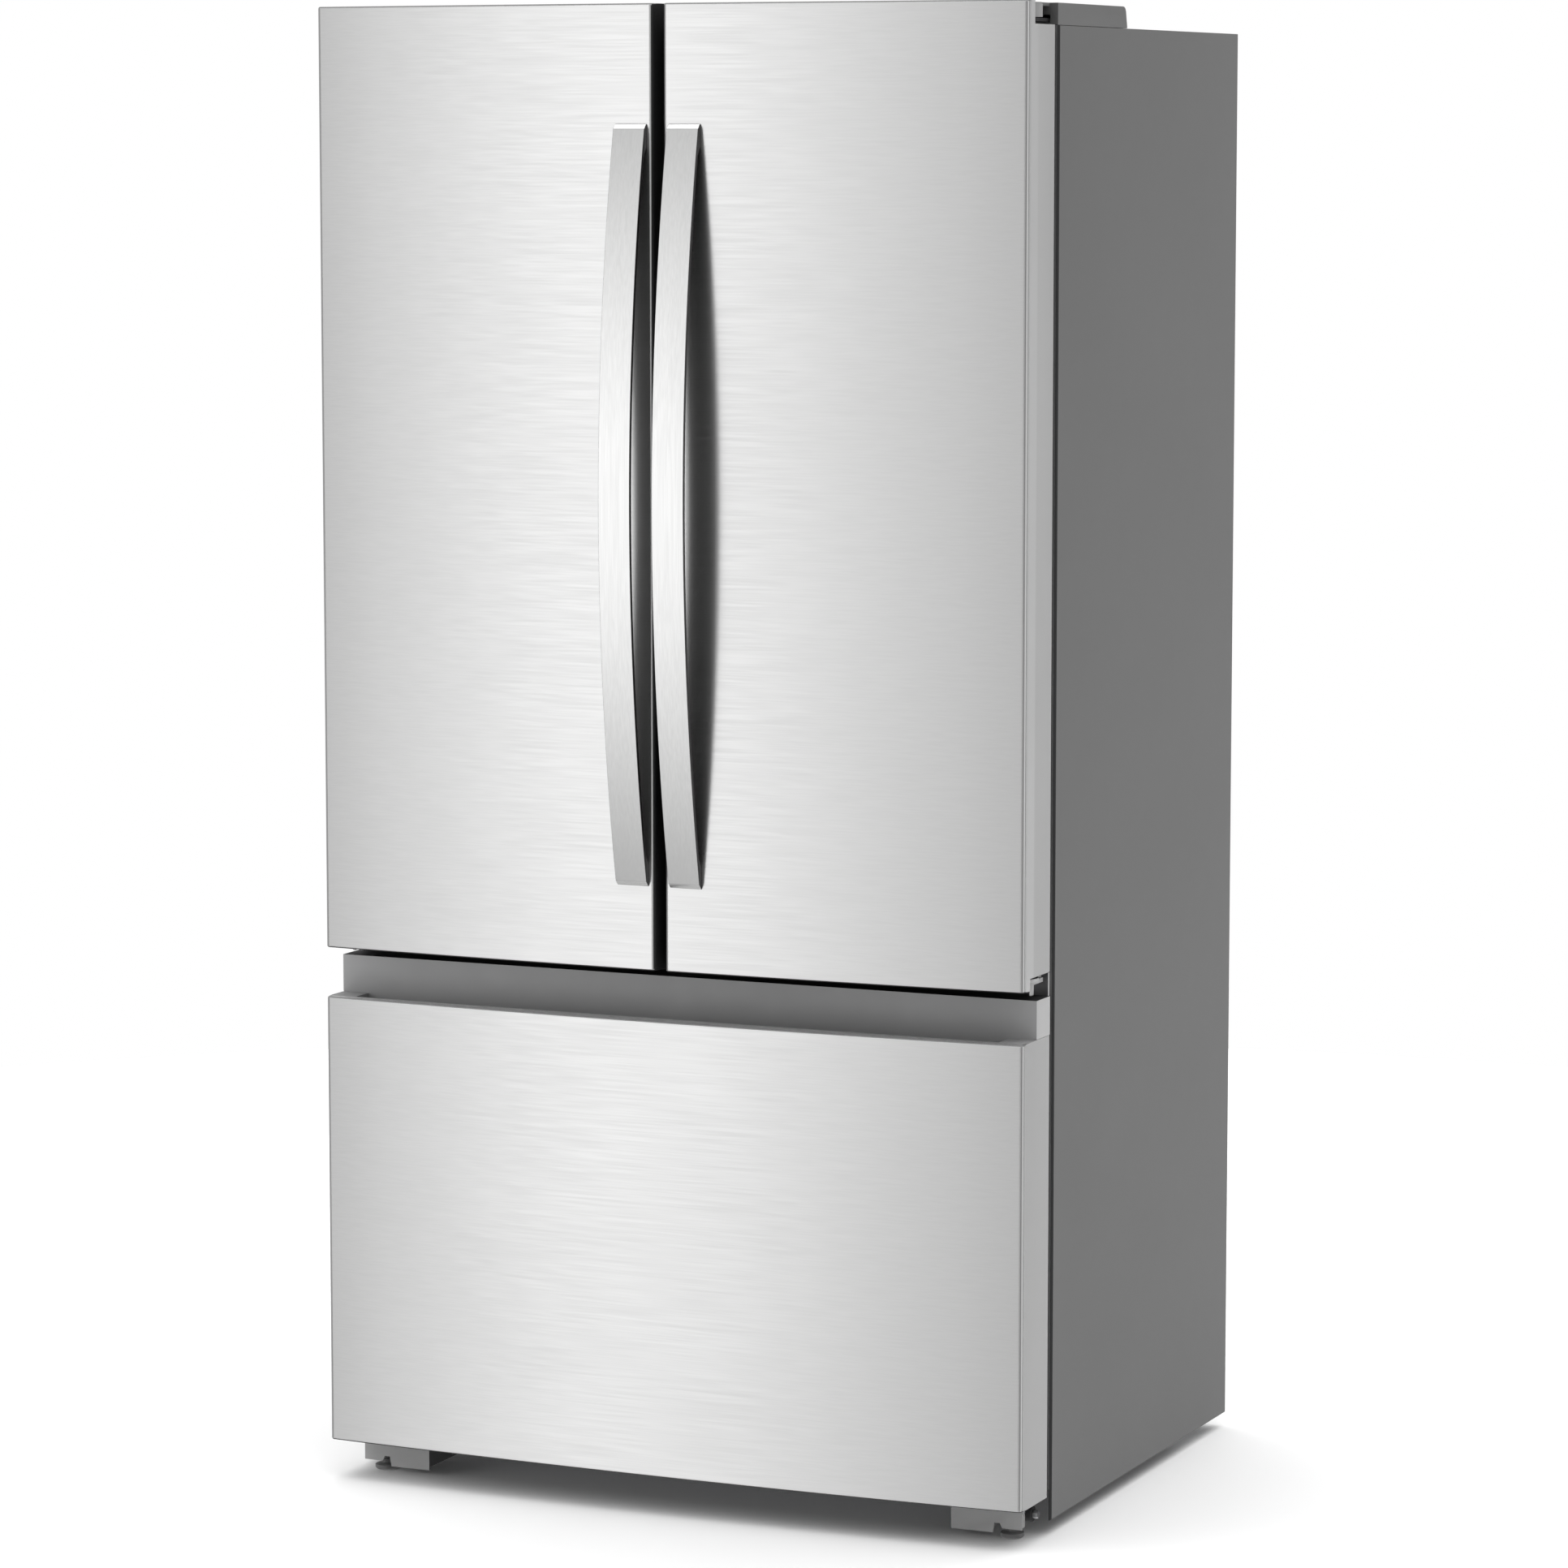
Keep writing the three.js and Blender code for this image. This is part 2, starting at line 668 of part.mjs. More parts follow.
// Centre hinge: a flange on the cabinet's front, an arm with a round eye over a nut, and a pin that
// stands up into the door.
function centreHinge(side) {
  const back = CABINET_FRONT - GAP;
  return join(
    box([side * CENTRE.inner, side * CENTRE.outer], [back - CENTRE.sheet, back], CENTRE.flange),
    box([side * (PIN_X - ARM_HALF), side * (PIN_X + ARM_HALF)], [PIN_Y, back - 1], CENTRE.arm),
    rod("z", [side * PIN_X, PIN_Y], CENTRE.eye, CENTRE.arm, 32),
    rod("z", [side * PIN_X, PIN_Y], CENTRE.nut, [CENTRE.arm[0] - CENTRE.drop, CENTRE.arm[1]], 6),
    rod("z", [side * PIN_X, PIN_Y], PIN_RADIUS, [CENTRE.arm[0], LOW_NOTCH + 20]),
  );
}

// ---- feet ----

const LEG = { near: 344.5, far: 433.5, front: 52, back: 150, low: 8, top: 47, sheet: 2.5 };
const FOOT = { x: 414, y: 72, radius: 14, stem: 5 };
const FRONT_ROLLER = { radius: 17, wide: 14, x: 368, y: 112, z: 19 };

// The leg's face: an upright plate whose lower edge steps up over the levelling foot.
function legFace(side) {
  const points = [
    [LEG.near, LEG.top], [LEG.near, LEG.low], [397, LEG.low], [399, 20], [406, 20], [409, 14],
    [LEG.far, 14], [LEG.far, LEG.top],
  ];
  const geometry = new THREE.ExtrudeGeometry(outline(points.map(([x, z]) => [side * x, z])), {
    depth: LEG.sheet,
    bevelEnabled: false,
  });
  geometry.rotateX(Math.PI / 2);
  geometry.translate(0, LEG.front + LEG.sheet, 0);
  return solid(geometry);
}

// A folded leg: face, top plate, two long cheeks for the roller and a short one outside the foot.
function legBracket(side) {
  const cheek = (near, back, low) =>
    box([side * near, side * (near + LEG.sheet)], [LEG.front + 1, back], [low, LEG.top]);
  const across = [side * LEG.near, side * LEG.far];
  return cut(
    join(
      legFace(side),
      cheek(LEG.near, LEG.back, 12),
      cheek(390, LEG.back, 12),
      cheek(LEG.far - LEG.sheet, 62, 16),
      box(across, [LEG.front + 1, LEG.back], [LEG.top - 3, LEG.top]),
      box(across, [CABINET_FRONT + 4, LEG.back], [LEG.top - 1, FLOOR_PAN - GAP]),
    ),
    rod("z", [side * FOOT.x, FOOT.y], FOOT.stem + 0.6, [LEG.top - 6, LEG.top + 1]),
    rod("x", [FRONT_ROLLER.y, FRONT_ROLLER.z], JOURNAL + 0.6, [across[0] - side * 20, 400 * side].sort(
      (a, b) => a - b,
    )),
  );
}

function levellingFoot() {
  const { radius, stem } = FOOT;
  return turned([
    [0, 0], [radius - 2, 0], [radius, 2], [radius, 6], [stem + 2, 8],
    [stem + 2, 13], [stem, 13.5], [stem, LEG.top - GAP], [0, LEG.top - GAP],
  ]);
}

// ---- assembly: one group for each body that moves as a whole ----

const SIDES = [["left", -1], ["right", 1]];

function cabinet() {
  const fittings = ([name, side]) => [
    mesh(name + "_top_hinge", topHinge(side), zinc()),
    mesh(name + "_hinge_cover", hingeCover(side), cabinetPaint()),
    mesh(name + "_centre_hinge", centreHinge(side), zinc()),
    mesh(name + "_leg_bracket", legBracket(side), cabinetPaint()),
    mesh(name + "_outer_rail", outerRail(side), zinc()),
    mesh(name + "_upper_shelf", shelf(SHELF.half), glass(), [side * SHELF.x, SHELF.front, SHELF.high]),
  ];
  return group(
    "cabinet",
    mesh("cabinet_shell", cabinetShell(), cabinetPaint()),
    mesh("foam_insulation", insulation(), foam()),
    mesh("fresh_food_liner", freshLiner(), whitePlastic()),
    mesh("freezer_liner", freezerLiner(), whitePlastic()),
    mesh("back_panel", box([-HALF + 1, HALF - 1], BACK_Y, [BAY_TOP, CABINET_TOP - 2]), cabinetPaint()),
    mesh("machine_cover", machineCover(), cabinetPaint()),
    mesh("base_pan", basePan(), zinc()),
    mesh("compressor", compressor(), black(), [-250, 632, PAN_TOP]),
    mesh("condenser", condenser(), black(), [110, 582, PAN_TOP]),
    mesh("condenser_fan_motor", fanMotor(), black(), [FAN.x, FAN.y, FAN.z]),
    mesh("evaporator_cover", evaporatorCover(), whitePlastic()),
    mesh("air_duct", airDuct(), whitePlastic()),
    mesh("control_panel", controlPanel(), black()),
    mesh("middle_shelf", shelf(2 * SHELF.half), glass(), [0, SHELF.front, SHELF.middle]),
    mesh("crisper_cover", crisperCover(), glass()),
    SIDES.map(fittings),
  );
}

function crispers() {
  return SIDES.map(([name, side]) => {
    const drawer = mesh(name + "_crisper", crisper(), clearPlastic());
    const slide = mesh(name + "_humidity_slide", humiditySlide(), gripPlastic(), [SLIDE.x, 0, SLIDE.z]);
    const made = group(name + "_crisper_body", drawer, slide);
    made.position.set(side * CRISPER.x, CRISPER.front, CRISPER.low);
    return made;
  });
}

function leftDoorExtras() {
  const lidZ = HIGH_BIN + BIN.high + LID.lift;
  return [
    mesh("dairy_lid", dairyLid(), clearPlastic(), [-BIN_X, BIN_FRONT, lidZ]),
    mesh("mullion_flap", mullionFlap(), gripPlastic(), [FLAP.x, FLAP.y, 0]),
  ];
}

function freezerDrawer() {
  const rails = SIDES.map(([name, side]) => mesh(name + "_inner_rail", innerRail(side), zinc()));
  return group(
    "freezer_drawer",
    mesh("drawer_panel", drawerPanel(), steel()),
    mesh("drawer_inner", drawerInner(), whitePlastic()),
    mesh("drawer_seal", drawerSeal(), darkRubber()),
    mesh("drawer_grip", drawerGrip(), gripPlastic()),
    mesh("lower_basket", lowerBasket(), clearPlastic(), [0, BASKET.front, BASKET.low]),
    mesh("upper_basket", upperBasket(), clearPlastic(), [0, UPPER.front, UPPER.low]),
    rails,
  );
}

function runningGear() {
  return SIDES.flatMap(([name, side]) => [
    mesh(name + "_levelling_foot", levellingFoot(), black(), [side * FOOT.x, FOOT.y, 0]),
    mesh(
      name + "_front_roller",
      roller(FRONT_ROLLER.radius, FRONT_ROLLER.wide, 26),
      wheelPlastic(),
      [side * FRONT_ROLLER.x, FRONT_ROLLER.y, FRONT_ROLLER.z],
    ),
    mesh(
      name + "_rear_roller",
      roller(ROLLER.radius, ROLLER.wide, 13),
      wheelPlastic(),
      [side * ROLLER.x, ROLLER.y, ROLLER.radius],
    ),
  ]);
}

const refrigerator = group(
  "french_door_refrigerator",
  cabinet(),
  crispers(),
  group("left_door", door(-1, "left"), leftDoorExtras()),
  group("right_door", door(1, "right")),
  freezerDrawer(),
  runningGear(),
  mesh("condenser_fan", fanRotor(), black(), [FAN.x, FAN.y, FAN.z]),
);

// The origin lies on the floor under the middle of the appliance.
const extent = new THREE.Box3().setFromObject(refrigerator);
refrigerator.position.y = -(extent.min.y + extent.max.y) / 2;

export default refrigerator;
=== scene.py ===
"""Looks of the french door refrigerator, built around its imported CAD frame.

Metres, in the CAD frame: X across the front, Y to the back, Z up from the floor.
Every CAD node is restated as a finer mesh with eased edges, and small real pieces are added to it.
"""
import json
import math

import bmesh
import bpy
from mathutils import Matrix, Vector

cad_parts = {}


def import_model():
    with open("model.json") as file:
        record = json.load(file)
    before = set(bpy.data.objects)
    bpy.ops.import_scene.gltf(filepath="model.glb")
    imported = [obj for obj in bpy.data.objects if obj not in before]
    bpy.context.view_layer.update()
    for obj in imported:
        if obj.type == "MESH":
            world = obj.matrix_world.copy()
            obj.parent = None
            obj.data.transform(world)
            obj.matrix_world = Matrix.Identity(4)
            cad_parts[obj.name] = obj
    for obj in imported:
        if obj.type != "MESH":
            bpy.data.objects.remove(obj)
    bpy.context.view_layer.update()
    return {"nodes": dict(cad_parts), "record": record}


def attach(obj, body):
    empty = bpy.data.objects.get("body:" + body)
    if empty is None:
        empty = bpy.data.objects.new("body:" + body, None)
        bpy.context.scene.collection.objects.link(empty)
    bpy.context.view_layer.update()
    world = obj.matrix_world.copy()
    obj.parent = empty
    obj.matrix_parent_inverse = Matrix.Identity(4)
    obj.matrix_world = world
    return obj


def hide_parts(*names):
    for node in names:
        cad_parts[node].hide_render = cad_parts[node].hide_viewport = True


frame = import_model()
MM = 0.001
SIDES = (("left", -1), ("right", 1))


# ---------------------------------------------------------------- materials

class Surface:
    """A procedural material: one Principled shader fed by noise in the object's own metres."""

    def __init__(self, name, color, roughness, metallic=0.0):
        self.material = bpy.data.materials.new(name)
        self.material.use_nodes = True
        self.tree = self.material.node_tree
        self.shader = self.tree.nodes["Principled BSDF"]
        self.shader.inputs["Base Color"].default_value = (*color, 1)
        self.shader.inputs["Roughness"].default_value = roughness
        self.shader.inputs["Metallic"].default_value = metallic
        self.color = color
        self.place = self.tree.nodes.new("ShaderNodeTexCoord").outputs["Object"]
        self.bump = None

    def link(self, out, inlet):
        self.tree.links.new(out, inlet)

    def noise(self, scale, detail=3.0, stretch=(1, 1, 1)):
        mapping = self.tree.nodes.new("ShaderNodeMapping")
        mapping.inputs["Scale"].default_value = stretch
        self.link(self.place, mapping.inputs["Vector"])
        texture = self.tree.nodes.new("ShaderNodeTexNoise")
        texture.inputs["Scale"].default_value = scale
        texture.inputs["Detail"].default_value = detail
        self.link(mapping.outputs["Vector"], texture.inputs["Vector"])
        return texture.outputs["Fac"]

    def span(self, factor, low, high, start=0.3, end=0.7):
        """Maps a noise value between start and end to a number between low and high."""
        node = self.tree.nodes.new("ShaderNodeMapRange")
        node.inputs["From Min"].default_value = start
        node.inputs["From Max"].default_value = end
        node.inputs["To Min"].default_value = low
        node.inputs["To Max"].default_value = high
        self.link(factor, node.inputs["Value"])
        return node.outputs["Result"]

    def tint(self, factor, other):
        """Colour varies between the base colour and another one."""
        mix = self.tree.nodes.new("ShaderNodeMix")
        mix.data_type = "RGBA"
        mix.inputs["A"].default_value = (*self.color, 1)
        mix.inputs["B"].default_value = (*other, 1)
        self.link(factor, mix.inputs["Factor"])
        self.link(mix.outputs["Result"], self.shader.inputs["Base Color"])

    def rough(self, factor, low, high):
        self.link(self.span(factor, low, high), self.shader.inputs["Roughness"])

    def relief(self, factor, strength, depth):
        """Adds a bump of the given depth in metres; later ones build on earlier ones."""
        bump = self.tree.nodes.new("ShaderNodeBump")
        bump.inputs["Strength"].default_value = strength
        bump.inputs["Distance"].default_value = depth
        self.link(factor, bump.inputs["Height"])
        if self.bump:
            self.link(self.bump, bump.inputs["Normal"])
        self.bump = bump.outputs["Normal"]
        self.link(self.bump, self.shader.inputs["Normal"])

    def worn_edges(self, other, strength=0.5):
        """Edges rubbed towards another colour, by the mesh's own pointiness."""
        geometry = self.tree.nodes.new("ShaderNodeNewGeometry")
        edge = self.span(geometry.outputs["Pointiness"], 0.0, strength, 0.52, 0.6)
        self.tint(edge, other)


def brushed(name, color, roughness, grain_axis, anisotropy=0.0, grain=1.0):
    """Brushed stainless steel: long fine scratches along one axis, faint broader streaks.

    With an anisotropy, the grain map turns highlights across the scratches.
    """
    surface = Surface(name, color, roughness, 1.0)

    def scratches(across, lengthways):
        stretch = [across] * 3
        stretch[grain_axis] = lengthways
        return surface.noise(1.0, 2.0, stretch)
    fine, broad = scratches(700.0, 9.0), scratches(230.0, 4.0)
    cloud = surface.noise(2.5, 2.0)
    add = surface.tree.nodes.new("ShaderNodeMath")
    add.operation = "MULTIPLY_ADD"
    surface.link(broad, add.inputs[0])
    add.inputs[1].default_value = 0.45
    surface.link(surface.span(fine, 0.0, 0.55, 0.25, 0.75), add.inputs[2])
    streak = add.outputs[0]
    darker = tuple(c * (1 - 0.03 * grain) for c in color)
    surface.tint(surface.span(streak, 0.0, 1.0, 0.3, 0.7), darker)
    rough = surface.tree.nodes.new("ShaderNodeMath")
    surface.link(surface.span(streak, roughness * 0.95, roughness * 1.05), rough.inputs[0])
    surface.link(surface.span(cloud, -0.006, 0.006), rough.inputs[1])
    surface.link(rough.outputs[0], surface.shader.inputs["Roughness"])
    surface.relief(fine, 0.045 * grain, 0.00004)
    if anisotropy:
        surface.shader.inputs["Anisotropic"].default_value = anisotropy
        surface.shader.inputs["Anisotropic Rotation"].default_value = 0.25
        tangent = surface.tree.nodes.new("ShaderNodeTangent")
        tangent.direction_type = "UV_MAP"
        tangent.uv_map = "grain"
        surface.link(tangent.outputs["Tangent"], surface.shader.inputs["Tangent"])
    return surface.material


def painted(name, color, roughness, grain=900.0, depth=0.00008):
    """Baked paint with a fine orange-peel texture and slightly rubbed edges."""
    surface = Surface(name, color, roughness)
    surface.worn_edges(tuple(min(1.0, c * 1.35 + 0.03) for c in color))
    surface.rough(surface.noise(6.0), roughness - 0.05, roughness + 0.05)
    surface.relief(surface.noise(grain, 2.0), 0.25, depth)
    surface.shader.inputs["Specular IOR Level"].default_value = 0.45
    return surface.material


def moulded(name, color, roughness, grain=1400.0, depth=0.00004):
    """Moulded plastic: faint mottling, fine grain."""
    surface = Surface(name, color, roughness)
    surface.tint(surface.span(surface.noise(9.0, 4.0), 0.0, 1.0), tuple(c * 0.93 for c in color))
    surface.rough(surface.noise(35.0), roughness - 0.04, roughness + 0.06)
    surface.relief(surface.noise(grain, 2.0), 0.2, depth)
    return surface.material


def plated(name, color, roughness):
    """Zinc-plated or galvanised sheet: small soft patches of different brightness."""
    surface = Surface(name, color, roughness, 0.9)
    surface.tint(surface.span(surface.noise(60.0, 3.0), 0.0, 1.0), tuple(c * 0.8 for c in color))
    surface.rough(surface.noise(45.0), roughness - 0.06, roughness + 0.1)
    surface.relief(surface.noise(300.0, 2.0), 0.15, 0.00008)
    return surface.material


def clear(name, color, roughness, transmission, ior):
    """Glass or clear plastic with a slightly uneven surface."""
    surface = Surface(name, color, roughness)
    surface.shader.inputs["Transmission Weight"].default_value = transmission
    surface.shader.inputs["IOR"].default_value = ior
    surface.rough(surface.noise(14.0), roughness, roughness + 0.05)
    surface.relief(surface.noise(25.0, 2.0), 0.05, 0.0002)
    return surface.material


STEEL = brushed("stainless_front", (0.90, 0.90, 0.897), 0.33, 0, 0.6)
HANDLE_STEEL = brushed("stainless_handle", (0.685, 0.685, 0.682), 0.2, 2, 0.0, 0.5)
DOOR_EDGE = painted("door_edge_grey", (0.465, 0.465, 0.465), 0.42)
# Painted shadow: a near-black put where shade falls, on the doors' meeting edges, rears and
# undersides, the drawer front's rear and underside, the grip band's top and the shell's front edge.
SHADOW = moulded("painted_shadow_black", (0.02, 0.02, 0.021), 0.6)
EDGE_TRIM = moulded("edge_trim_grey", (0.22, 0.22, 0.222), 0.45)
# Face frame grey darkened as painted shade, standing for the shade in the gaps round the doors; also
# on the hinge covers' front faces.
FRAME_PAINT_AND_SHADE = painted("face_frame_grey_and_painted_shade", (0.09, 0.09, 0.09), 0.5)
# Painted shade: the handles' back and ends in near-black and their sides in a darkened steel, so that
# they and their reflections in the door look shaded.
HANDLE_BACK_SHADE = moulded("handle_back_painted_shade", (0.025, 0.025, 0.025), 0.5)
HANDLE_SIDE_SHADE = brushed("stainless_side_painted_shade", (0.12, 0.12, 0.12), 0.35, 2)
# Painted shade: the steel fronts' top rims in a dull grey paint in place of the steel's bright
# reflection of the ceiling.
RIM_SHADE = painted("rim_painted_shade_grey", (0.2, 0.2, 0.2), 0.45)
PAINT = painted("cabinet_grey", (0.18, 0.18, 0.18), 0.5)
LEG = painted("leg_grey", (0.32, 0.32, 0.32), 0.45)
FOOT = moulded("foot_grey", (0.17, 0.17, 0.17), 0.35)
# Painted highlight: a light grey paint on the centre hinges' outward faces and cheeks, which as plated
# metal would mirror the dark side of the room.
HINGE_HIGHLIGHT = painted("hinge_painted_highlight_grey", (0.5, 0.5, 0.5), 0.4)
UNDERSIDE = plated("underside_sheet", (0.16, 0.16, 0.165), 0.5)
GRIP = moulded("grip_grey", (0.31, 0.31, 0.312), 0.42)
WHITE = moulded("liner_white", (0.83, 0.845, 0.85), 0.32, 600.0)
CLEAR = clear("clear_plastic", (0.90, 0.95, 0.97), 0.06, 0.85, 1.46)
GLASS = clear("shelf_glass", (0.86, 0.95, 0.92), 0.02, 0.95, 1.5)
RUBBER = moulded("seal_rubber", (0.055, 0.055, 0.057), 0.7)
ZINC = plated("zinc_plate", (0.58, 0.59, 0.60), 0.36)
# Painted shade: a darkened copy of the zinc plate, on the hinges' faces that lie in shade.
SHADED_ZINC = plated("zinc_painted_shade", (0.16, 0.16, 0.165), 0.42)
# Black paint of the machinery, also used as painted shade on the legs' inner cheeks.
BLACK = painted("black_paint_and_painted_shade", (0.018, 0.018, 0.019), 0.42)
DARK = moulded("dark_plastic", (0.022, 0.022, 0.024), 0.38)
WHEEL = moulded("roller_plastic", (0.03, 0.03, 0.032), 0.5)
FOAM = moulded("insulation_foam", (0.80, 0.71, 0.42), 0.9, 120.0, 0.001)
TRIM = brushed("shelf_trim", (0.72, 0.72, 0.72), 0.3, 0)
LENS = moulded("lamp_lens", (0.95, 0.95, 0.94), 0.5)
LENS_GLOW = LENS.node_tree.nodes["Principled BSDF"].inputs
LENS_GLOW["Emission Color"].default_value = (1, 0.98, 0.95, 1)
LENS_GLOW["Emission Strength"].default_value = 2.5


# ---------------------------------------------------------------- meshes

def box_uv(bm):
    """Lays the grain map on: u runs level along the surface, v runs up."""
    layer = bm.loops.layers.uv.new("grain")
    for face in bm.faces:
        for loop in face.loops:
            at = loop.vert.co
            loop[layer].uv = (at.x + at.y, at.z)


def new_piece(name, bm, material, body, smooth_angle=40):
    """Turns a bmesh into a named piece that rides on a body."""
    bmesh.ops.recalc_face_normals(bm, faces=bm.faces)
    box_uv(bm)
    limit = math.radians(smooth_angle)
    for face in bm.faces:
        face.smooth = True
    for edge in bm.edges:
        if len(edge.link_faces) == 2 and edge.calc_face_angle(0) > limit:
            edge.smooth = False
    mesh = bpy.data.meshes.new(name)
    bm.to_mesh(mesh)
    bm.free()
    piece = bpy.data.objects.new(name, mesh)
    bpy.context.collection.objects.link(piece)
    piece.data.materials.append(material)
    weighted = piece.modifiers.new("even_shading", "WEIGHTED_NORMAL")
    weighted.keep_sharp = True
    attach(piece, body)
    return piece


def ease_edges(bm, width, segments=2, angle=30):
    """Rounds every edge sharper than the angle."""
    limit = math.radians(angle)
    sharp = [e for e in bm.edges if len(e.link_faces) == 2 and e.calc_face_angle(0) > limit]
    if width and sharp:
        bmesh.ops.bevel(
            bm, geom=sharp, offset=width, offset_type="OFFSET", segments=segments,
            profile=0.5, affect="EDGES", clamp_overlap=True,
        )


def from_node(node):
    """A clean copy of a CAD node's mesh: merged corners and whole flat faces."""
    bm = bmesh.new()
    bm.from_mesh(frame["nodes"][node].data)
    bmesh.ops.remove_doubles(bm, verts=bm.verts, dist=1e-6)
    bmesh.ops.dissolve_limit(
        bm, angle_limit=math.radians(0.15), verts=bm.verts, edges=bm.edges,
        use_dissolve_boundaries=False, delimit=set(),
    )
    return bm


def split_across(bm, y):
    """Cuts the faces along a plane across the appliance, so that each side can have its own finish."""
    bmesh.ops.bisect_plane(
        bm, geom=bm.verts[:] + bm.edges[:] + bm.faces[:], plane_co=(0, y, 0), plane_no=(0, 1, 0),
    )


def body_of(node):
    for body, nodes in frame["record"]["behaviour"]["bodies"].items():
        if node in nodes:
            return body
    raise KeyError(node)


def ease_rims(bm, width, segments):
    """Rounds the top and bottom outer edges of a steel front, apart from its rear ones."""
    heights = [v.co.z for v in bm.verts]
    ends = (min(heights), max(heights))

    def on_rim(edge):
        level = any(all(abs(v.co.z - end) < 1e-5 for v in edge.verts) for end in ends)
        walls = [f for f in edge.link_faces if abs(f.normal.z) < 0.1]
        return level and len(walls) == 1 and walls[0].normal.y < -0.02
    rim = [edge for edge in bm.edges if on_rim(edge)]
    bmesh.ops.bevel(
        bm, geom=rim, offset=width, offset_type="OFFSET", segments=segments,
        profile=0.5, affect="EDGES", clamp_overlap=False,
    )


def restate(node, material, width, segments=2, smooth_angle=40):
    """Replaces a CAD node with the same shape whose edges are rounded by a width in mm."""
    bm = from_node(node)
    if node in SPLITS:
        split_across(bm, SPLITS[node])
    if material is STEEL:
        bm.normal_update()
        ease_rims(bm, RIM * MM, 4)
    ease_edges(bm, width * MM, segments)
    piece = new_piece(node + "_finish", bm, material, body_of(node), smooth_angle)
    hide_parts(node)
    return piece


# ---------------------------------------------------------------- the CAD nodes, restated

RIM = 2.4  # rounding of the steel fronts' top and bottom edges, mm
SHELL_EDGE = -0.2230  # the shell's front edge carries painted shadow up to here
EDGE_SPLIT = -0.2880  # the doors' meeting edges carry painted shadow in front of this line and grey trim behind it
SPLITS = {"cabinet_shell": SHELL_EDGE, "left_door_panel": EDGE_SPLIT, "right_door_panel": EDGE_SPLIT}


def both(*names):
    """The left and the right node of each name."""
    return [side + "_" + name for name in names for side, _ in SIDES]


NODE_FINISH = {  # material: edge rounding in mm, its segments, nodes
    STEEL: (1.0, 3, both("door_panel") + ["drawer_panel"]),
    HANDLE_STEEL: (0.8, 2, both("door_handle")),
    LEG: (0.6, 2, both("leg_bracket")),
    PAINT: (0.8, 2, both("hinge_cover") + ["cabinet_shell", "back_panel", "machine_cover"]),
    GRIP: (0.8, 2, ["drawer_grip", "mullion_flap"] + both("humidity_slide")),
    WHITE: (1.2, 2, ["fresh_food_liner", "freezer_liner", "evaporator_cover", "air_duct"]
            + both("door_inner") + ["drawer_inner"]),
    CLEAR: (1.0, 2, both("crisper", "low_door_bin", "high_door_bin")
            + ["dairy_lid", "lower_basket", "upper_basket"]),
    GLASS: (0.8, 2, ["middle_shelf", "crisper_cover"] + both("upper_shelf")),
    RUBBER: (1.5, 2, both("door_seal") + ["drawer_seal"]),
    ZINC: (0.5, 2, both("top_hinge", "centre_hinge", "outer_rail", "inner_rail") + ["base_pan"]),
    BLACK: (0.5, 2, ["compressor", "condenser", "condenser_fan_motor"]),
    DARK: (0.6, 2, ["condenser_fan", "control_panel"]),
    FOOT: (0.6, 2, both("levelling_foot")),
    WHEEL: (0.5, 2, both("front_roller", "rear_roller")),
    FOAM: (0.0, 1, ["foam_insulation"]),
}
for material, (width, segments, nodes) in NODE_FINISH.items():
    for node in nodes:
        restate(node, material, width, segments)


def second_finish(node, material, where):
    """Gives the faces of a restated node that pass a test another finish."""
    piece = bpy.data.objects[node + "_finish"]
    piece.data.materials.append(material)
    for face in piece.data.polygons:
        if where(face.normal, face.center):
            face.material_index = len(piece.data.materials) - 1


OUTER_FACE = 0.4515  # beyond this |x| lie the outer side faces of doors and drawer
SIDE_START = -0.3135  # the painted side faces start behind the steel's rounded front corner
COVER_FRONT = -0.225  # the top hinges' arms lie in front of this line
BAND_TOP = 0.640  # the grip band's upper faces lie above this height
UNDER_CABINET = 0.06  # the foam's lowest faces lie below this height
NEAR_GAP = 0.02  # within this |x| lie the doors' meeting edges


def painted_side(n, c):
    """The painted outer side face of a door or of the drawer, with its rear edge."""
    return abs(n.x) > 0.3 and abs(c.x) > OUTER_FACE - 0.001 and c.y > SIDE_START


def top_rim(n, c):
    """The rounded top edge of a steel front and the level rim behind it."""
    return n.z > 0.35 and n.y < 0


def finish_handle(side):
    """Painted shade on the sides, back and ends; only the handle's bowed face keeps the bright steel.
    """
    handle = side + "_door_handle"
    # painted shade on the handle's sides and on its back and ends
    second_finish(handle, HANDLE_SIDE_SHADE, lambda n, c: abs(n.x) > 0.7)
    second_finish(handle, HANDLE_BACK_SHADE, lambda n, c: n.y > 0.7 or abs(n.z) > 0.8)


def finish_door(side, sign):
    """Painted side; painted shade on the top rim; painted shadow on the rear, the underside and the
    front of the meeting edge, which is grey trim behind.
    """
    door = side + "_door_panel"
    # painted shade: the top rim greyed
    second_finish(door, RIM_SHADE, top_rim)
    second_finish(door, DOOR_EDGE, lambda n, c: painted_side(n, c) and n.x * sign > 0)
    # painted shadow on the meeting edge, the underside and the rear faces
    second_finish(door, SHADOW, lambda n, c: c.y > SIDE_START and (
        n.x * sign < -0.9 or n.z < -0.9 or n.y > 0.3))
    second_finish(door, EDGE_TRIM, lambda n, c: c.y > EDGE_SPLIT and abs(c.x) < NEAR_GAP
                  and n.x * sign < -0.3)
    # painted shadow on the lower rims and on the front of the meeting edge
    second_finish(door, SHADOW, lambda n, c: n.z < -0.35 or (
        c.y < EDGE_SPLIT and abs(c.x) < NEAR_GAP and n.x * sign < -0.6))


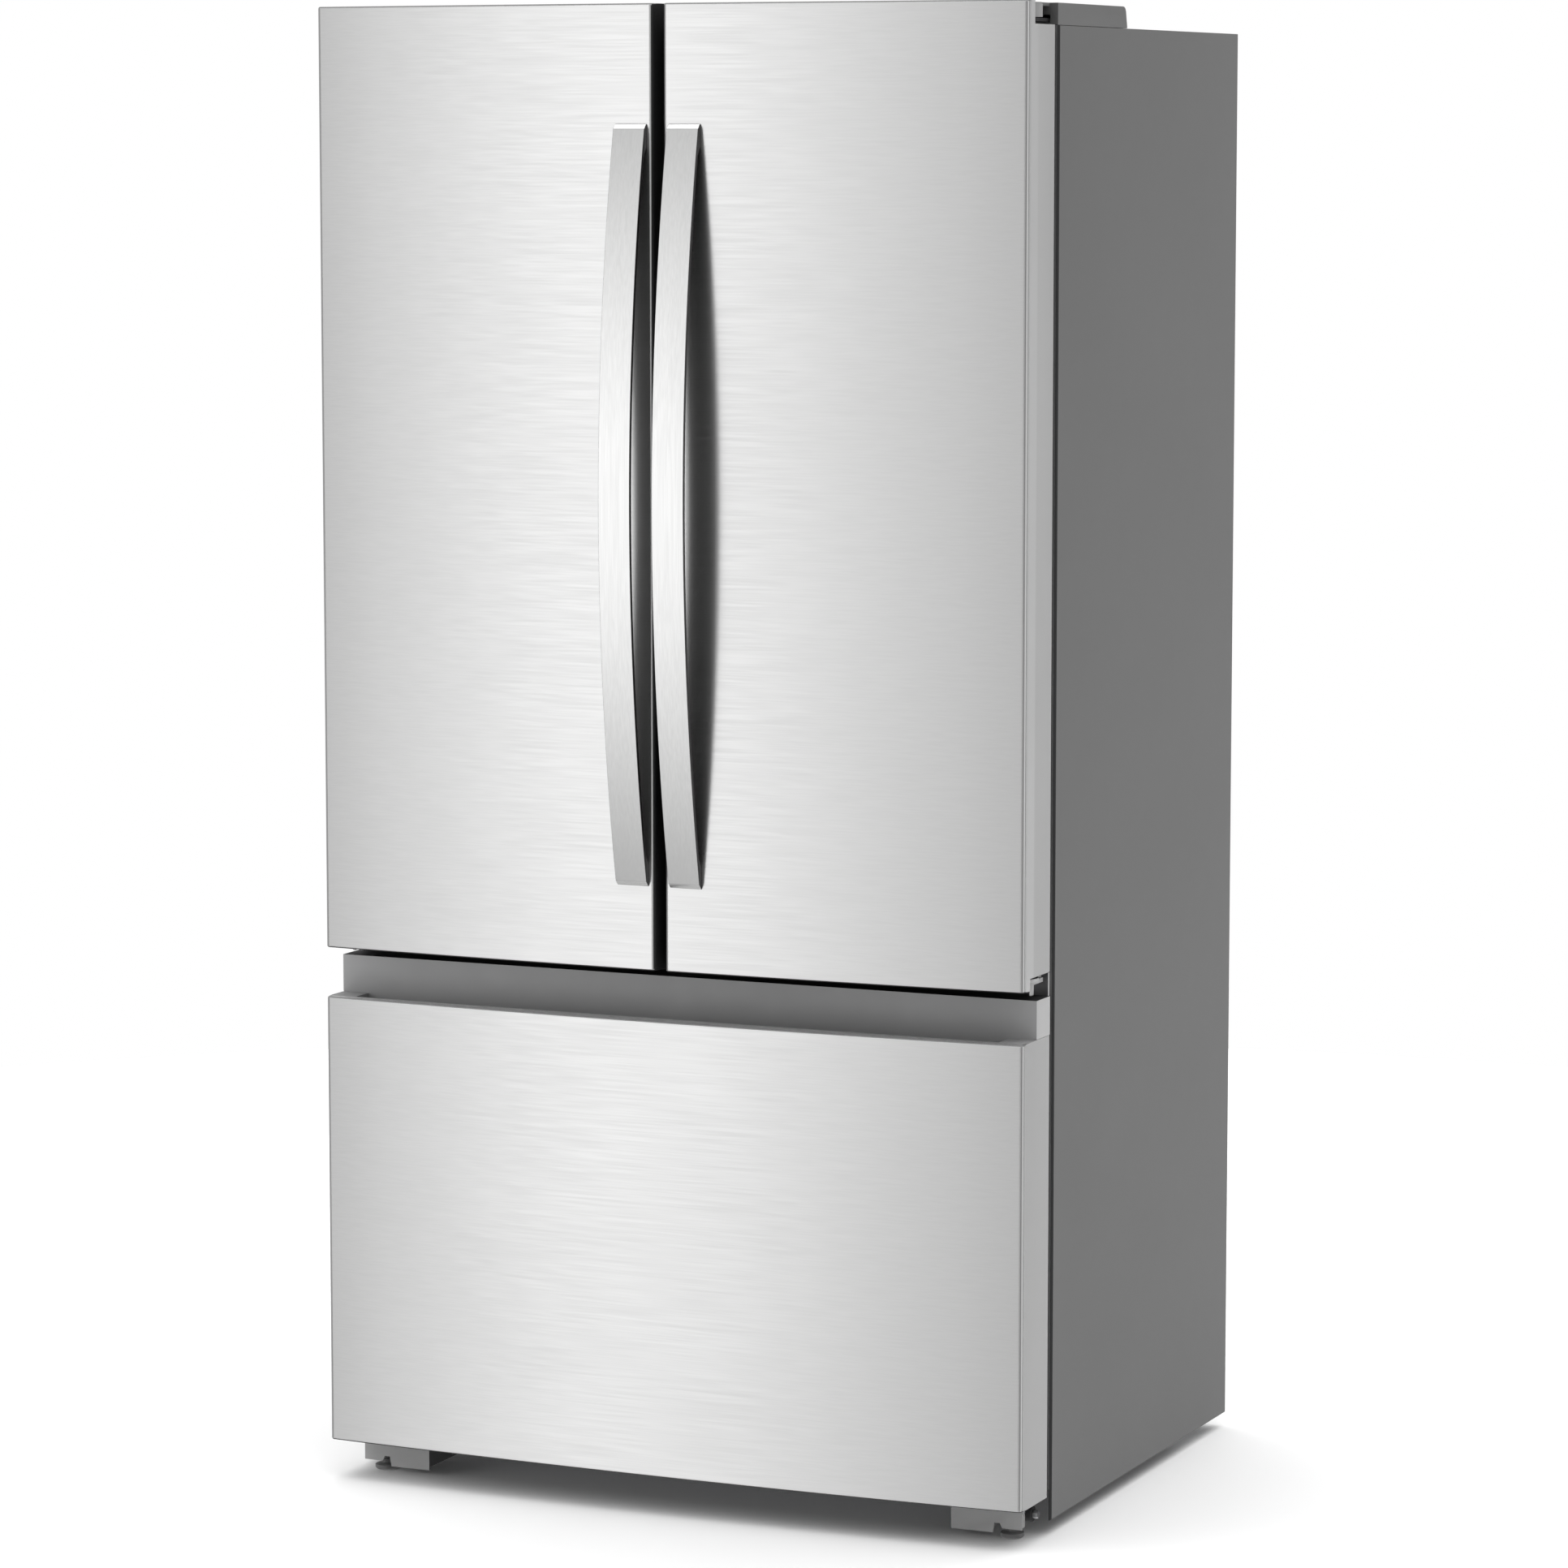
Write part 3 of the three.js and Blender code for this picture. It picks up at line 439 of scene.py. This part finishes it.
def finish_fittings(side, sign):
    """Painted shade on the hinges' front and level faces, the top hinges' arms, the hinge covers'
    fronts and the legs' inner cheeks; painted highlight on the centre hinges' outward faces.
    """
    hinge = side + "_centre_hinge"
    # painted shade on the hinge's front and level faces; painted highlight on its outward faces
    second_finish(hinge, SHADED_ZINC, lambda n, c: n.y < -0.9 or abs(n.z) > 0.9)
    second_finish(hinge, HINGE_HIGHLIGHT, lambda n, c: n.x * sign > 0.5)
    # painted shade on the top hinge's arm and on the cover's front face
    second_finish(side + "_top_hinge", SHADED_ZINC, lambda n, c: c.y < COVER_FRONT)
    second_finish(side + "_hinge_cover", FRAME_PAINT_AND_SHADE,
                  lambda n, c: n.y < -0.9 and c.y > COVER_FRONT - 0.01)
    # painted shade on the leg's inner cheek
    second_finish(side + "_leg_bracket", BLACK, lambda n, c: n.x * sign < -0.9)


def finish_drawer():
    """Painted sides, painted shade on the drawer front's top rim, painted shadow on its rear and lower
    edges, pale ends on the grip band and painted shadow on its top.
    """
    # painted shade: the top rim greyed
    second_finish("drawer_panel", RIM_SHADE, top_rim)
    second_finish("drawer_panel", DOOR_EDGE, painted_side)
    # painted shadow on the drawer front's rear and lower edges
    second_finish("drawer_panel", SHADOW,
                  lambda n, c: n.y > 0.3 and c.y > SIDE_START or n.z < -0.35)
    second_finish("drawer_grip", DOOR_EDGE, lambda n, c: abs(n.x) > 0.9 and abs(c.x) > OUTER_FACE)
    # painted shadow on the grip band's top, under the door
    second_finish("drawer_grip", SHADOW, lambda n, c: n.z > 0.9 and c.z > BAND_TOP)


def finish_cabinet():
    """The sheet under the cabinet, the face frame in a grey darkened as painted shade, and painted
    shadow on the shell's front edge.
    """
    second_finish("foam_insulation", UNDERSIDE, lambda n, c: n.z < -0.9 and c.z < UNDER_CABINET)
    # face frame darkened as painted shade
    second_finish("cabinet_shell", FRAME_PAINT_AND_SHADE, lambda n, c: n.y < -0.9)
    # painted shadow along the shell's front edge, beside the door gap
    second_finish("cabinet_shell", SHADOW, lambda n, c: abs(n.x) > 0.2 and c.y < SHELL_EDGE)


for side, sign in SIDES:
    finish_handle(side)
    finish_door(side, sign)
    finish_fittings(side, sign)
finish_drawer()
finish_cabinet()


# ---------------------------------------------------------------- pieces added to the CAD nodes

FRONT_PLANE = 322.338  # the CAD's own Y zero lies this far in front of the origin, in mm
SUNK = 0.5  # fasteners start this far below the surface they stand on, in mm


def place(x, y, z):
    """A point given in the CAD source's millimetres."""
    return Vector((x, y - FRONT_PLANE, z)) * MM


def block(bm, x, y, z, ease=0.0, segments=2):
    """A box between pairs of millimetre values with rounded edges."""
    part = bmesh.new()
    low, high = place(min(x), min(y), min(z)), place(max(x), max(y), max(z))
    middle, size = (low + high) / 2, high - low
    bmesh.ops.create_cube(part, size=1.0)
    bmesh.ops.scale(part, vec=size, verts=part.verts)
    bmesh.ops.translate(part, vec=middle, verts=part.verts)
    ease_edges(part, ease * MM, segments)
    add_to(bm, part)


def add_to(bm, part):
    """Moves a part's faces into a bmesh."""
    mesh = bpy.data.meshes.new("part")
    part.to_mesh(mesh)
    part.free()
    bm.from_mesh(mesh)
    bpy.data.meshes.remove(mesh)


def spun(bm, at, axis, points, sides=24):
    """A body of revolution: (radius, height) points in mm about an axis through a point."""
    part = bmesh.new()
    rings = []
    turns = [2 * math.pi * i / sides for i in range(sides)]
    for radius, height in points:
        if radius == 0:
            rings.append([part.verts.new((0, 0, height * MM))])
            continue
        rings.append([
            part.verts.new((radius * MM * math.cos(t), radius * MM * math.sin(t), height * MM))
            for t in turns
        ])
    for low, high in zip(rings, rings[1:]):
        for i in range(sides):
            k = (i + 1) % sides
            if len(low) == 1:
                part.faces.new((low[0], high[k], high[i]))
            elif len(high) == 1:
                part.faces.new((low[i], low[k], high[0]))
            else:
                part.faces.new((low[i], low[k], high[k], high[i]))
    turn = Vector((0, 0, 1)).rotation_difference(Vector(axis)).to_matrix().to_4x4()
    bmesh.ops.transform(part, matrix=Matrix.Translation(at) @ turn, verts=part.verts)
    add_to(bm, part)


def screw(bm, at, axis, radius=4.5):
    """A domed screw head with a dimple for the driver, standing on a surface."""
    r = radius
    spun(bm, at, axis, [
        (0, -SUNK), (r, -SUNK), (r, 0.21 * r), (0.8 * r, 0.38 * r),
        (0.42 * r, 0.45 * r), (0.34 * r, 0.16 * r), (0, 0.1 * r),
    ])


def hex_bolt(bm, at, axis, radius=6.5, high=4.5):
    """A washer with a six-sided head on it."""
    rim = 1.35 * radius
    spun(bm, at, axis, [(0, -SUNK), (rim, -SUNK), (rim, 1.0), (1.25 * radius, 1.3), (0, 1.3)])
    spun(bm, at, axis, [
        (0, 1.0), (radius, 1.0), (radius, high - 0.8), (0.85 * radius, high), (0, high),
    ], 6)


def slab(bm, outlines):
    """A flat plate between two copies of an outline, with eased edges."""
    part = bmesh.new()
    near, far = [[part.verts.new(at) for at in outline] for outline in outlines]
    part.faces.new(near)
    part.faces.new(list(reversed(far)))
    for i in range(len(near)):
        k = (i + 1) % len(near)
        part.faces.new((near[k], near[i], far[i], far[k]))
    ease_edges(part, 0.5 * MM, 1)
    add_to(bm, part)


def strip(bm, points, x):
    """A flat plate: an outline of (y, z) points in mm, from x[0] to x[1]."""
    slab(bm, [[place(at, y, z) for y, z in points] for at in x])


def plate(bm, points, z):
    """A flat plate: an outline of (x, y) points in mm, from z[0] to z[1]."""
    slab(bm, [[place(x, y, at) for x, y in points] for at in z])


SHELF_FRONT, SHELF_BACK = 210, 610
MIDDLE_SHELF, HIGH_SHELF, CRISPER_SHELF = 1160, 1410, 912
SHELF_SPANS = {  # x range, height, front, back and thickness of each glass shelf, mm
    "middle_shelf": ((-390, 390), MIDDLE_SHELF, SHELF_FRONT, SHELF_BACK, 4),
    "left_upper_shelf": ((-395, -5), HIGH_SHELF, SHELF_FRONT, SHELF_BACK, 4),
    "right_upper_shelf": ((5, 395), HIGH_SHELF, SHELF_FRONT, SHELF_BACK, 4),
    "crisper_cover": ((-400, 400), CRISPER_SHELF, 216, 620, 5),
}


def shelf_trims():
    """Satin rails along the front and back of each glass shelf."""
    for name, (x, z, front, back, thick) in SHELF_SPANS.items():
        bm = bmesh.new()
        block(bm, x, (front - 3, front + 9), (z - 4, z + thick + 2.5), 1.8, 3)
        block(bm, x, (back - 8, back + 2), (z - 3, z + thick + 5), 1.5)
        new_piece(name + "_trim", bm, TRIM, "cabinet")


LINER_WALL = 400.3  # |x| of the fresh-food liner's inner side faces, mm
SPARE_LEDGES = (1000, 1285, 1540)


def wall_ledges():
    """Moulded ledges on the liner's side walls that the full-width shelves rest on."""
    bm = bmesh.new()
    along = (SHELF_FRONT + 6, SHELF_BACK - 6)
    for _, side in SIDES:
        under = (MIDDLE_SHELF - 13, MIDDLE_SHELF - 4.3)
        block(bm, (side * 389.5, side * LINER_WALL), along, under, 3.5, 3)
        for z in SPARE_LEDGES:
            block(bm, (side * 395.5, side * LINER_WALL), along, (z - 6, z + 6), 2.2, 3)
    new_piece("wall_ledges", bm, WHITE, "cabinet")


TRACK_FOOT, TRACK_HEAD = 960, 1680
TRACK_STEP, TRACK_RUNGS = 19.8, 37
# The outer tracks stand on the liner's back wall and the inner ones on the air duct in front of it.
TRACKS = [(side * 383, 651.5) for _, side in SIDES] + [(side * 14, 633.7) for _, side in SIDES]


def shelf_tracks():
    """Slotted tracks up the back wall: two uprights with rungs between the slots."""
    bm = bmesh.new()
    for x, back in TRACKS:
        for edge in (-6.5, 3.5):
            block(bm, (x + edge, x + edge + 3), (back - 3, back), (TRACK_FOOT, TRACK_HEAD), 0.5, 1)
        for i in range(TRACK_RUNGS):
            z = TRACK_FOOT + i * TRACK_STEP
            block(bm, (x - 4, x + 4), (back - 2.6, back), (z, z + 7.2), 0.3, 1)
    new_piece("shelf_tracks", bm, ZINC, "cabinet")


def shelf_brackets():
    """The brackets that carry the two upper shelves, hooked into the tracks."""
    bm = bmesh.new()
    top = HIGH_SHELF - 0.6
    for x, back in TRACKS:
        outline = [(226, top), (back - 3.2, top), (back - 3.2, top - 40), (back - 30, top - 40),
                   (250, top - 9), (226, top - 7)]
        strip(bm, outline, (x - 1.2, x + 1.2))
    new_piece("upper_shelf_brackets", bm, ZINC, "cabinet")


BIN_WIDE, BIN_DEEP, BIN_HIGH = 318, 104, 92
BIN_X, BIN_FRONT = 218.5, 85.5  # |x| of a bin's middle, y of its side next to the door
BIN_LEVELS = (("low", 950), ("high", 1400))  # height of each bin's floor


def bin_rims():
    """A white rim round the top of each door bin."""
    half, deep = BIN_WIDE / 2 + 0.3, BIN_DEEP + 0.3
    wall, front = 4.2, BIN_FRONT
    for side, sign in SIDES:
        for level, z in BIN_LEVELS:
            bm = bmesh.new()
            x = sign * BIN_X
            top = (z + BIN_HIGH - 7, z + BIN_HIGH + 0.8)
            for end in (-1, 1):
                ends = (x + end * half, x + end * (half - wall))
                block(bm, ends, (front, front + deep - 0.4), top, 1.2)
            for y in (front - 0.1, front + deep - wall):
                block(bm, (x - half, x + half), (y, y + wall), top, 1.2)
            new_piece(f"{side}_{level}_bin_rim", bm, WHITE, side + "_door")


def lamp_lens():
    """The cabinet light in the ceiling, behind the control panel."""
    bm = bmesh.new()
    block(bm, (-70, 70), (292, 348), (1694.5, 1699.7), 2.2, 3)
    new_piece("lamp_lens", bm, LENS, "cabinet")


BACK_FACE = 707.4  # y of the cabinet's back, mm
BACK_SCREWS = {  # x of each column of screws, and the heights in it
    (-440, 440): (1735, 1370, 1000, 630, 240, 190, 60),
    (-200, 0, 200): (1735, 232, 198),
}
BACK_RIBS = (-330, -110, 110, 330)


def back_details():
    """Screws round the back panel and machine cover, and shallow stiffening ribs."""
    bm = bmesh.new()
    for columns, heights in BACK_SCREWS.items():
        for x in columns:
            for z in heights:
                screw(bm, place(x, BACK_FACE, z), (0, 1, 0))
    new_piece("back_screws", bm, ZINC, "cabinet")
    bm = bmesh.new()
    for x in BACK_RIBS:
        block(bm, (x - 22, x + 22), (BACK_FACE - 0.4, BACK_FACE + 1.1), (330, 1640), 1.0, 2)
    new_piece("back_ribs", bm, PAINT, "cabinet")


COVER_TOP = 1778.4  # height of the hinge covers' tops, mm


def cover_screws():
    """One screw in the top of each hinge cover."""
    bm = bmesh.new()
    for _, side in SIDES:
        screw(bm, place(side * 392, 175, COVER_TOP), (0, 0, 1), 4.2)
    new_piece("hinge_cover_screws", bm, ZINC, "cabinet")


LEG_CHEEK = 392.6  # |x| of the outer face of each leg's long cheek, mm


def leg_bolts():
    """Bolts through the legs' long cheeks and the one that clamps the roller's fork."""
    bm = bmesh.new()
    for _, side in SIDES:
        outward = (side, 0, 0)
        for y in (82, 136):
            hex_bolt(bm, place(side * LEG_CHEEK, y, 36), outward, 5.0, 4.0)
        screw(bm, place(side * 433.6, 57, 34), outward, 3.2)
    new_piece("leg_bolts", bm, ZINC, "cabinet")


PIN_X, PIN_Y = 428.5, 50  # the doors turn about pins at this |x| and y
HINGE_FLANGE = 87  # y of the centre hinges' upright flange


def hinge_skirts():
    """A curved lip on each top cover's nose that hangs down in front of the hinge pin."""
    turns = [math.radians(-62 + 7 * i) for i in range(9)]

    def sector(sign, inner, outer):
        arcs = [[(r * math.cos(t), r * math.sin(t)) for t in turns] for r in (outer, inner)]
        return [(sign * (PIN_X + x), PIN_Y + y) for x, y in arcs[0] + arcs[1][::-1]]
    for side, sign in SIDES:
        bm = bmesh.new()
        plate(bm, sector(sign, 20.8, 23), (1761.4, 1776.4))  # the lip
        plate(bm, sector(sign, 12.6, 21.6), (1775.4, 1778.2))  # the web that joins it to the cover
        new_piece(side + "_hinge_skirt", bm, LEG, "cabinet")


def hinge_cheeks():
    """The folded side of each centre hinge: a narrow frame under the arm with a leg at its front."""
    for side, sign in SIDES:
        bm = bmesh.new()
        low, high = 645, 661.6
        flange = HINGE_FLANGE - 0.4
        outline = [(PIN_Y, low), (PIN_Y + 7, low), (PIN_Y + 8, high - 5), (flange, high - 5),
                   (flange, high), (PIN_Y, high)]
        strip(bm, outline, (sign * 440.6, sign * 442.8))
        # painted highlight: the cheek is light grey so that the hinge's edge looks lit
        new_piece(side + "_hinge_cheek", bm, HINGE_HIGHLIGHT, "cabinet")


def roller_axles():
    """The outer end of each front roller's axle: rod, black bush and plated nut."""
    for side, sign in SIDES:
        out = (sign, 0, 0)
        at = place(sign * LEG_CHEEK, 112, 19)
        bm = bmesh.new()
        spun(bm, at, out, [(0, -SUNK), (3.6, -SUNK), (3.6, 33), (0, 33)], 20)
        spun(bm, at, out, [(0, 32.4), (5.2, 32.4), (5.2, 37), (4.2, 38.4), (0, 38.4)], 6)
        new_piece(side + "_roller_axle", bm, ZINC, "cabinet")
        bm = bmesh.new()
        spun(bm, at, out, [(4, 22), (8.6, 22), (9.6, 23), (9.6, 31), (8.6, 32), (4, 32)], 32)
        new_piece(side + "_axle_bush", bm, RUBBER, "cabinet")


def flap_brackets():
    """Plates above and below the flap between the doors, fixed to the left door's liner."""
    bm = bmesh.new()
    for z in ((700.6, 705.6), (1694.4, 1699.2)):
        block(bm, (-52, -22), (84.7, 114), z, 1.2)
    new_piece("flap_brackets", bm, GRIP, "left_door")


shelf_trims()
wall_ledges()
shelf_tracks()
shelf_brackets()
bin_rims()
lamp_lens()
back_details()
cover_screws()
leg_bolts()
hinge_skirts()
hinge_cheeks()
roller_axles()
flap_brackets()


# ---------------------------------------------------------------- studio

FLOOR_RADIUS = 3.2
# A room: base brightness, glows, ceiling, ground. A glow is the azimuth of its centre (from the front
# towards the appliance's left side), its elevation, its spread in both (degrees) and its brightness.
# Ceiling and ground: the sine of the elevation they start at, and their brightness overhead or below.
LIT_ROOM = (0.42, [(-60.0, 5.0, 14.0, 25.0, 0.3)], (0.62, 2.6), (0.8, 0.0))  # lights all but the gloss
STEEL_ROOM = (0.38, [  # shows in glossy surfaces
    (26.4, -2.0, 3.9, 16.0, 1.62),  # tall softbox to the left of the front
    (60.0, -18.0, 8.0, 22.0, -0.2),  # darker corner further round
    (-1.0, 0.0, 3.0, 30.0, 0.5),  # thin strip straight ahead
    (-42.0, 0.0, 26.0, 60.0, -0.25),  # dark side of the room
    (-30.0, -5.0, 5.0, 20.0, 0.45),  # window on the right
    (-108.0, 0.0, 14.0, 40.0, 0.42),  # softbox beside the right wall
    (-158.0, 0.0, 14.0, 60.0, -0.34),  # dark wall towards the back
], (0.62, 1.8), (0.75, 1.0))


def floor():
    """A pale round floor; the steel reflects the room instead of it, as over a sweep."""
    bm = bmesh.new()
    bmesh.ops.create_circle(bm, cap_ends=True, segments=96, radius=FLOOR_RADIUS)
    mesh = bpy.data.meshes.new("floor")
    bm.to_mesh(mesh)
    bm.free()
    piece = bpy.data.objects.new("floor", mesh)
    bpy.context.collection.objects.link(piece)
    surface = Surface("floor_pale", (0.93, 0.93, 0.93), 0.8)
    surface.rough(surface.noise(4.0), 0.75, 0.85)
    piece.data.materials.append(surface.material)
    piece.visible_glossy = False


def area_light(name, at, target, size, power):
    """A rectangular lamp that points at a target and isn't seen in the gloss."""
    light = bpy.data.lights.new(name, "AREA")
    light.shape = "RECTANGLE"
    light.size, light.size_y = size
    light.energy = power
    lamp = bpy.data.objects.new(name, light)
    lamp.location = at
    lamp.rotation_euler = (Vector(target) - Vector(at)).to_track_quat("-Z", "Y").to_euler()
    lamp.visible_glossy = False
    bpy.context.collection.objects.link(lamp)


def world():
    """A soft studio: white to look at, and for everything else a grey room with soft panels."""
    studio = bpy.data.worlds.new("studio")
    bpy.context.scene.world = studio
    studio.use_nodes = True
    tree = studio.node_tree
    nodes, link = tree.nodes, tree.links.new
    nodes.clear()

    def calc(operation, *values):
        node = nodes.new("ShaderNodeMath")
        node.operation = operation
        for inlet, value in zip(node.inputs, values):
            if isinstance(value, (int, float)):
                inlet.default_value = value
            else:
                link(value, inlet)
        return node.outputs[0]

    def off(angle, centre, spread):
        """How far an angle is from a glow's centre, in spreads."""
        return calc("DIVIDE", calc("SUBTRACT", angle, math.radians(centre)), math.radians(spread))

    split = nodes.new("ShaderNodeSeparateXYZ")
    link(nodes.new("ShaderNodeTexCoord").outputs["Generated"], split.inputs[0])
    x, y, z = split.outputs
    azimuth = calc("ARCTAN2", calc("MULTIPLY", x, -1.0), calc("MULTIPLY", y, -1.0))
    elevation = calc("ARCSINE", z)

    def room(base, glows, ceiling, ground):
        light = base
        for centre, height, spread, rise, power in glows:
            across, up = off(azimuth, centre, spread), off(elevation, height, rise)
            square = calc("ADD", calc("MULTIPLY", across, across), calc("MULTIPLY", up, up))
            glow = calc("MULTIPLY", calc("EXPONENT", calc("MULTIPLY", square, -0.5)), power)
            light = calc("ADD", glow, light)
        for (start, power), height in ((ceiling, z), (ground, calc("MULTIPLY", z, -1.0))):
            beyond = calc("MAXIMUM", calc("SUBTRACT", height, start), 0.0)
            light = calc("ADD", light, calc("MULTIPLY", beyond, power / (1 - start)))
        return light

    def choose(ray, otherwise, chosen):
        mix = nodes.new("ShaderNodeMix")
        link(ray, mix.inputs["Factor"])
        link(otherwise, mix.inputs["A"])
        if isinstance(chosen, float):
            mix.inputs["B"].default_value = chosen
        else:
            link(chosen, mix.inputs["B"])
        return mix.outputs["Result"]

    rays = nodes.new("ShaderNodeLightPath").outputs
    light = choose(rays["Is Glossy Ray"], room(*LIT_ROOM), room(*STEEL_ROOM))
    light = choose(rays["Is Camera Ray"], light, 1.0)
    background = nodes.new("ShaderNodeBackground")
    background.inputs["Color"].default_value = (1, 1, 1, 1)
    link(light, background.inputs["Strength"])
    link(background.outputs[0], nodes.new("ShaderNodeOutputWorld").inputs["Surface"])


CAMERA_AT = (2.75597, -6.15187, 1.62902)
CAMERA_DOWN, CAMERA_YAW = 6.673, 24.058  # degrees below level, and to the left of straight ahead
CAMERA_LENS = 127.32  # mm on a sensor 36 mm wide


def camera():
    """A long lens in front of the appliance and to its right, looking slightly down."""
    data = bpy.data.cameras.new("camera")
    data.sensor_width = 36.0
    data.lens = CAMERA_LENS
    item = bpy.data.objects.new("camera", data)
    item.location = CAMERA_AT
    item.rotation_euler = (math.radians(90 - CAMERA_DOWN), 0.0, math.radians(CAMERA_YAW))
    bpy.context.collection.objects.link(item)
    bpy.context.scene.camera = item


LAMPS = {  # place, target, size (metres), power (watts)
    "left_fill": ((-1.6, -1.7, 0.9), (0.0, -0.3, 0.5), (1.4, 1.4), 16.0),
    "top": ((-0.3, 1.3, 3.5), (0.0, 0.0, 0.0), (3.0, 2.0), 15.0),
    "rear_right": ((1.7, 2.2, 2.6), (0.7, 0.0, 0.0), (1.5, 1.5), 14.0),
    "cabinet_lamp": ((0.0, 0.04, 1.668), (0.0, 0.03, 1.0), (0.5, 0.2), 1.0),
}

floor()
world()
camera()
for name, lamp in LAMPS.items():
    area_light(name, *lamp)
bpy.context.scene.view_settings.view_transform = "Standard"
